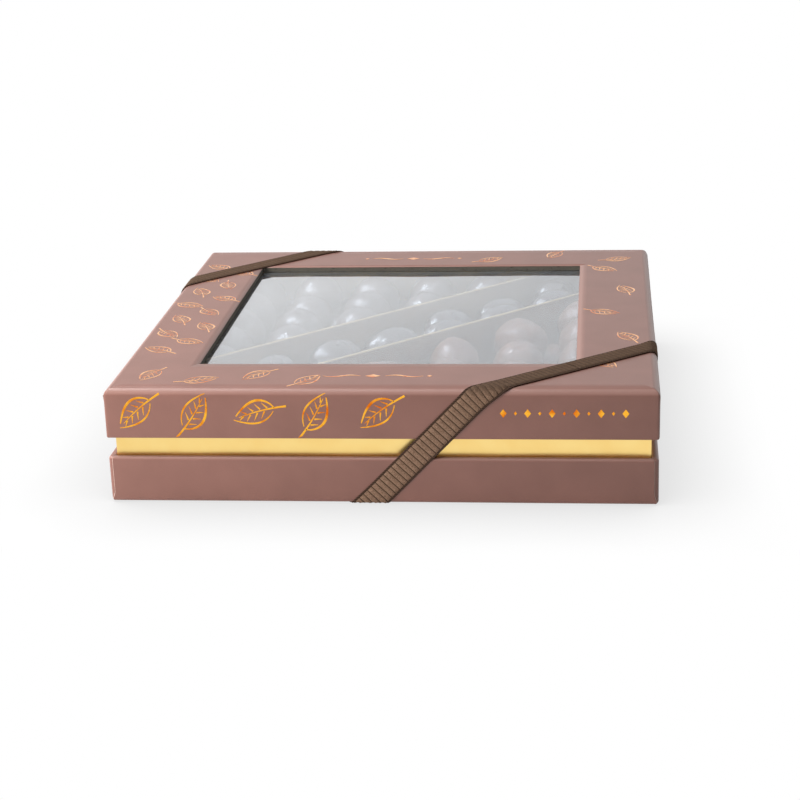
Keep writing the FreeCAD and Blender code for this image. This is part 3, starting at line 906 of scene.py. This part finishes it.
def shells(node):
    """Vertex places of each separate solid of a CAD node, in millimetres."""
    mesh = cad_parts[node].data
    places, which = np.unique(np.round(node_points(node), 4), axis=0, return_inverse=True)
    which = which.reshape(-1)
    edges = np.empty(len(mesh.edges) * 2, int)
    mesh.edges.foreach_get("vertices", edges)
    first, second = which[edges.reshape(-1, 2)].T
    label = np.arange(len(places))
    while True:
        lowest = np.minimum(label[first], label[second])
        joined = label.copy()
        np.minimum.at(joined, first, lowest)
        np.minimum.at(joined, second, lowest)
        joined = joined[joined]
        if (joined == label).all():
            return [places[label == value] for value in np.unique(label)]
        label = joined


def chocolate_shape(kind, direction, seed):
    """How far a chocolate reaches in a direction, as a share of its spheroid; x is the long way."""
    slow = noise.noise(direction * 1.3 + seed)
    quick = noise.noise(direction * 3.4 - seed)
    if kind == "almond":
        taper = 1.0 - 0.16 * (direction.x + 1.0) ** 2 / 4.0 - 0.05 * max(0.0, -direction.x) ** 2
        return taper * (0.985 + 0.03 * slow + 0.012 * quick)
    if kind == "milk":
        return 0.955 + 0.075 * slow + 0.03 * quick
    return 0.97 + 0.045 * slow + 0.016 * quick


def chocolates_piece(name, node, kind, material, fineness):
    """Every chocolate of a node, each with a form of its own inside its CAD spheroid."""
    seed_ball = bmesh.new()
    bmesh.ops.create_icosphere(seed_ball, subdivisions=fineness, radius=1.0)
    directions = [vertex.co.copy() for vertex in seed_ball.verts]
    seed_faces = [[vertex.index for vertex in face.verts] for face in seed_ball.faces]
    seed_ball.free()
    points = []
    faces = []
    for index, shell in enumerate(shells(node)):
        middle = (shell.min(axis=0) + shell.max(axis=0)) / 2
        away = shell - middle
        reach = np.linalg.norm(away, axis=1)
        axis = Vector(away[reach.argmax()]).normalized()
        turn = axis.to_track_quat("X", "Z")
        half = Vector((reach.max(), reach.min(), reach.min()))
        seed = Vector((7.3 * index, 3.1 * index, 11.7))
        start = len(points)
        for direction in directions:
            share = min(1.0, chocolate_shape(kind, direction, seed))
            point = turn @ (direction * half * share)
            points.append(tuple(point + Vector(middle)))
        faces += [[start + corner for corner in face] for face in seed_faces]
    return make_piece(name, points, faces, [material], sharp=180.0)


# Ribbon


class Fold:
    """Where the ribbon goes over an edge of the box. The two faces and the bend between them are unrolled
    flat: u runs along the edge from the crossing, and w across it from the bend's start."""

    def __init__(self, edge, before, after, point, radius):
        self.edge, self.before, self.after = edge, before, after
        self.point = point
        self.radius = radius
        self.length = math.pi / 2 * radius

    def join(self, behind, ahead):
        """Set the straight runs to the crossings before and after this one."""
        arriving = self.point - behind.point
        leaving = ahead.point - self.point
        self.slope_in = arriving.dot(self.edge) / arriving.dot(self.after)
        self.slope_out = -leaving.dot(self.edge) / leaving.dot(self.before)
        self.first = self.radius - abs(arriving.dot(self.after)) / 2
        self.last = self.length - self.radius + abs(leaving.dot(self.before)) / 2

    def centre(self, w):
        """The ribbon's middle at w: it drifts from one face's line to the other's."""
        arrive = self.slope_in * (w - self.radius)
        leave = self.slope_out * (w - self.length + self.radius)
        return arrive + (leave - arrive) * smoothstep((w + RIBBON_EASE) / (self.length + 2 * RIBBON_EASE))

    def place(self, u, w, lift):
        lift += RIBBON_GAP
        if w <= 0:
            return self.point + self.edge * u + self.after * (w - self.radius) + self.before * lift
        if w >= self.length:
            away = w - self.length + self.radius
            return self.point + self.edge * u - self.before * away + self.after * lift
        angle = w / self.radius
        normal = self.before * math.cos(angle) + self.after * math.sin(angle)
        axis = self.point - (self.before + self.after) * self.radius
        return axis + self.edge * u + normal * (self.radius + lift)


def ribbon_folds():
    """The eight folds, in the order of their crossings; the last four are the first, turned half round."""
    up = Vector((0, 0, 1))
    ways = []
    for sign in (1, -1):
        front, right = Vector((0, -sign, 0)), Vector((sign, 0, 0))
        ways += [(-right, up, front), (-right, front, -up), (-front, -up, -right), (-front, -right, up)]
    folds = []
    for (edge, before, after), crossing in zip(ways, RIBBON_CROSSINGS):
        point = Vector((0.0, 0.0, 0.0))
        for way in (before, after):
            upright = LID_TOP if way.z > 0 else -BASE_BOTTOM
            point += way * (upright if way.z else HALF)
        point += Vector([abs(part) for part in edge]) * crossing
        radius = RIBBON_TOP_BEND if point.z > BASE_RIM else RIBBON_LOW_BEND
        folds.append(Fold(edge, before, after, point, radius))
    for index, fold in enumerate(folds):
        fold.join(folds[index - 1], folds[(index + 1) % len(folds)])
    return folds


def ribbon_stations():
    """Closely spaced places along the closed loop: fold, unrolled middle and direction."""
    stations = []
    for fold in ribbon_folds():
        count = max(8, int((fold.last - fold.first) * math.sqrt(2) / (RIB_PITCH / 6)))
        for w in np.linspace(fold.first, fold.last, count, endpoint=False):
            small = 0.01
            step = Vector((fold.centre(w + small) - fold.centre(w - small), 2 * small))
            stations.append((fold, fold.centre(w), w, step.normalized()))
    return stations


def lap_stations(stations):
    """The stretch of the loop that the welded end covers, on the back of the base."""
    low, high = node_box("ribbon_lap")
    middle = (low + high) / 2
    reach = (high - low).length / 2
    places = [fold.place(u, w, 0.0) for fold, u, w, _ in stations]
    near = LAP_SHARE * reach
    return [station for station, place in zip(stations, places) if (place - middle).length < near]


def ribbon_piece(name, material, stations, lift, closed):
    """A ribbed strip along the stations, with corded edges."""
    cord = np.linspace(CORD_START + CORD_CLEAR, 1, 4)
    ribbed = CORD_START - CORD_CLEAR
    outer = np.concatenate([-cord[::-1], np.linspace(-ribbed, ribbed, 7), cord])
    middles = [fold.place(u, w, 0.0) for fold, u, w, _ in stations]
    lengths = [0.0]
    for here, ahead in zip(middles, middles[1:] + middles[:1]):
        lengths.append(lengths[-1] + (ahead - here).length)
    ribs = round(lengths[-1] / RIB_PITCH)
    points = []
    marks = []
    for (fold, u, w, way), distance in zip(stations, lengths):
        along = distance / lengths[-1] * ribs
        for share, height in ribbon_section(outer, along):
            offset = share * RIBBON_WIDTH / 2
            points.append(fold.place(u - way.y * offset, w + way.x * offset, lift + height))
            marks.append((along, share / 2 + 0.5))
    columns = len(points) // len(stations)
    faces = tube_faces(0, len(stations), columns, closed_rows=closed)
    if not closed:
        faces.append(list(range(columns)))
        faces.append([len(points) - 1 - index for index in range(columns)])
    piece = make_piece(name, points, faces, [material], sharp=60.0)
    mark_uv(piece, marks, columns, ribs)
    return face_outwards(piece)


def ribbon_section(outer, along):
    """The cross-section at a place along the ribbon: shares of the half width and heights, all round."""
    rib = 1 - abs(math.cos(math.pi * along)) ** 6
    section = []
    for share in outer:
        if abs(share) > CORD_START:
            swell = 1 - ((abs(share) - CORD_MIDDLE) / CORD_REACH) ** 2
            twist = 0.04 * math.sin(4 * math.pi * along + 6 * share)
            height = RIBBON_BODY * (0.55 + 0.6 * max(0.0, swell)) + twist
        else:
            height = RIBBON_BODY + RIB_RISE * rib
        section.append((share, height))
    section += [(share, 0.0) for share in (0.98, 0.5, 0.0, -0.5, -0.98)]
    return section


def mark_uv(piece, marks, columns, ribs):
    """Store distance along and across the ribbon for its material."""
    layer = piece.data.uv_layers.new(name="UVMap")
    rows = len(marks) // columns
    for polygon in piece.data.polygons:
        wraps = {piece.data.loops[loop].vertex_index // columns for loop in polygon.loop_indices}
        for loop in polygon.loop_indices:
            vertex = piece.data.loops[loop].vertex_index
            along, across = marks[vertex]
            if vertex // columns == 0 and rows - 1 in wraps:
                along += ribs
            layer.data[loop].uv = (along, across)


# Stage


def add_stage():
    """A floor, and a backdrop that is white where it is seen and faint as light on the object."""
    corners = [turned(side, -FLOOR_HALF, -FLOOR_HALF, 0.0) for side in range(4)]
    floor = make_piece("floor", corners, [[0, 1, 2, 3]], [plain_floor_material()])
    world = bpy.data.worlds.new("studio")
    bpy.context.scene.world = world
    world.use_nodes = True
    studio = Nodes(world.node_tree)
    backdrop = studio.tree.nodes["Background"]
    studio.set(backdrop.inputs["Color"], (1.0, 1.0, 1.0, 1.0))
    studio.set(backdrop.inputs["Strength"], studio.seen_ray(1.0, AMBIENT))


def add_lamp(name, location, target, size, power, mirrored=True):
    """A soft rectangular lamp, in metres and watts; unless mirrored, it leaves no glare on gloss."""
    lamp = bpy.data.lights.new(name, "AREA")
    lamp.shape = "RECTANGLE"
    lamp.size, lamp.size_y = size
    lamp.energy = power
    holder = bpy.data.objects.new(name, lamp)
    holder.location = location
    holder.rotation_euler = (Vector(target) - Vector(location)).to_track_quat("-Z", "Y").to_euler()
    holder.visible_glossy = mirrored
    holder.visible_transmission = mirrored
    bpy.context.scene.collection.objects.link(holder)


def add_camera():
    """The photograph's view: a place, and the angles that the camera is turned, tipped and rolled by."""
    location = Vector((72.7, -672.4, 235.6)) * MM
    yaw, pitch, roll = (math.radians(angle) for angle in (-6.41, 18.8, -1.96))
    level = Matrix.Rotation(-yaw, 4, "Z") @ Matrix.Rotation(math.pi / 2 - pitch, 4, "X")
    camera = bpy.data.cameras.new("camera")
    camera.lens = 84.2
    camera.sensor_width = 36.0
    holder = bpy.data.objects.new("camera", camera)
    holder.matrix_world = Matrix.Translation(location) @ level @ Matrix.Rotation(roll, 4, "Z")
    bpy.context.scene.collection.objects.link(holder)
    bpy.context.scene.camera = holder


# Pieces on their bodies


def dress_node(node, material):
    """Give a CAD node that stays in view a finer material."""
    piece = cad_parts[node]
    if not piece.material_slots:
        piece.data.materials.append(material)
    for slot in piece.material_slots:
        slot.material = material


def set_piece(piece, body, nodes):
    """A finished piece that stands for CAD nodes."""
    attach(piece, body)
    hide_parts(*nodes)


def add_flaps(lid_skin, base_skin, materials):
    """The paper's flaps: the lid's on its left and right, the base's on its front and back."""
    top = lid_skin.distance_to(0.0, LID_TOP - LID_FOLD)
    lid_end = lid_skin.distance_to(WALL / 2, LID_RIM)
    under = base_skin.distance_to(BASE_FOLD, BASE_BOTTOM)
    base_end = base_skin.distance_to(WALL / 2, BASE_RIM)
    for name, skin, side, first, last, body in (
        ("lid_flap_right", lid_skin, 1, top, lid_end, "lid"),
        ("lid_flap_left", lid_skin, 3, top, lid_end, "lid"),
        ("base_flap_front", base_skin, 0, under, base_end, "base"),
        ("base_flap_back", base_skin, 2, under, base_end, "base"),
    ):
        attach(flap_piece(name, skin, side, first, last, materials), body)


def add_paper():
    """The covering paper of lid and base, with its flaps, and the foil on the lid."""
    # Painted highlight colour for the paper's folds.
    fold_highlight = srgb(164, 122, 111)
    paper = paper_material("wrap_paper", srgb(150, 104, 92), srgb(138, 95, 83), 0.38, fold_highlight)
    cut_paper = paper_material("cut_paper", srgb(202, 176, 166), srgb(182, 156, 147), 0.8)
    lid_skin = Skin(lid_profile(), 1)
    base_skin = Skin(base_profile(), -1)
    set_piece(wrap_piece("lid_paper", lid_skin, paper, False), "lid", ["lid_wrap"])
    set_piece(wrap_piece("base_paper", base_skin, paper, True), "base", ["base_wrap"])
    add_flaps(lid_skin, base_skin, [paper, cut_paper])
    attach(lay_foil(lid_skin, foil_material()), "lid")


def add_window_and_collar():
    """The film with its tapes, and the collar's strips."""
    raw_card = paper_material("raw_card", srgb(222, 190, 160), srgb(198, 164, 132), 0.85)
    gold = gold_material("gold_card", srgb(255, 224, 146), srgb(253, 212, 127), 0.34)
    set_piece(film_piece(film_material()), "lid", ["window_film"])
    for side in ("front", "back", "left", "right"):
        strip = card_strip(f"collar_strip_{side}", f"collar_{side}", [gold, raw_card])
        set_piece(strip, "base", [f"collar_{side}"])
        dress_node(f"window_tape_{side}", tape_material(f"window_tape_{side}", srgb(226, 222, 210), 0.3))


def add_chocolates():
    """The three kinds, each in two layers; the upper one, which shows, is finer."""
    kinds = (
        ("round", "dark_chocolate", srgb(58, 36, 28), srgb(74, 48, 38), 0.34, 1.0),
        ("almond", "almond_chocolate", srgb(48, 28, 21), srgb(60, 37, 28), 0.24, 1.0),
        ("milk", "milk_chocolate", srgb(104, 66, 47), srgb(124, 82, 60), 0.42, 0.4),
    )
    for kind, slot, colour, bloom, roughness, coat in kinds:
        material = chocolate_material(slot, colour, bloom, roughness, coat)
        for layer, fineness in (("lower", 3), ("upper", 4)):
            node = f"{kind}_chocolates_{layer}"
            fill = chocolates_piece(f"{kind}_fill_{layer}", node, kind, material, fineness)
            set_piece(fill, "base", [node])


def add_inside():
    """Dividers, linings, boards and the tapes that hold the boards' corners."""
    for node in ("divider_back_left", "divider_front_right"):
        dress_node(node, divider_material(node))
    liner = gold_material("floor_liner", srgb(250, 212, 130), srgb(238, 192, 108), 0.42)
    dress_node("floor_liner", liner)
    dress_node("lid_lining", paper_material("lid_lining", srgb(232, 224, 210), srgb(222, 212, 196), 0.7))
    dress_node("lid_board", board_material("lid_board", srgb(112, 106, 95), srgb(92, 87, 78)))
    tray = base_board_piece(board_material("base_board", srgb(128, 122, 112), srgb(108, 103, 95)))
    set_piece(tray, "base", ["base_board"])
    kraft = tape_material("stay_tape", srgb(186, 150, 108), 0.7)
    for body, radius in (("base", BASE_CORNER), ("lid", LID_CORNER)):
        for corner in ("front_left", "front_right", "back_left", "back_right"):
            node = f"{body}_stay_{corner}"
            set_piece(stay_piece(f"{body}_tape_{corner}", node, radius, kraft), body, [node])


def add_ribbon():
    """The ribbon's loop and the welded end on it, in place of the CAD's ribbon nodes."""
    grosgrain = ribbon_material()
    stations = ribbon_stations()
    ribbon = ribbon_piece("ribbon", grosgrain, stations, 0.0, True)
    lap = ribbon_piece("ribbon_lap_end", grosgrain, lap_stations(stations), RIBBON_BODY + RIB_RISE, False)
    for piece, node in ((ribbon, "ribbon_loop"), (lap, "ribbon_lap")):
        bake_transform(piece)
        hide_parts(node)


def main():
    bpy.context.scene.view_settings.view_transform = "Standard"
    add_paper()
    add_window_and_collar()
    add_chocolates()
    add_inside()
    add_ribbon()
    add_stage()
    add_lamp("key_lamp", (-0.42, 0.04, 0.62), (0.0, 0.0, 0.02), (0.4, 0.4), 3.9)
    add_lamp("top_lamp", (-0.14, -0.22, 0.80), (0.0, 0.0, 0.03), (0.35, 0.25), 1.3)
    add_lamp("side_lamp", (-0.36, -0.28, 0.15), (-0.05, -0.05, 0.02), (0.2, 0.2), 1.5, mirrored=False)
    add_camera()


main()
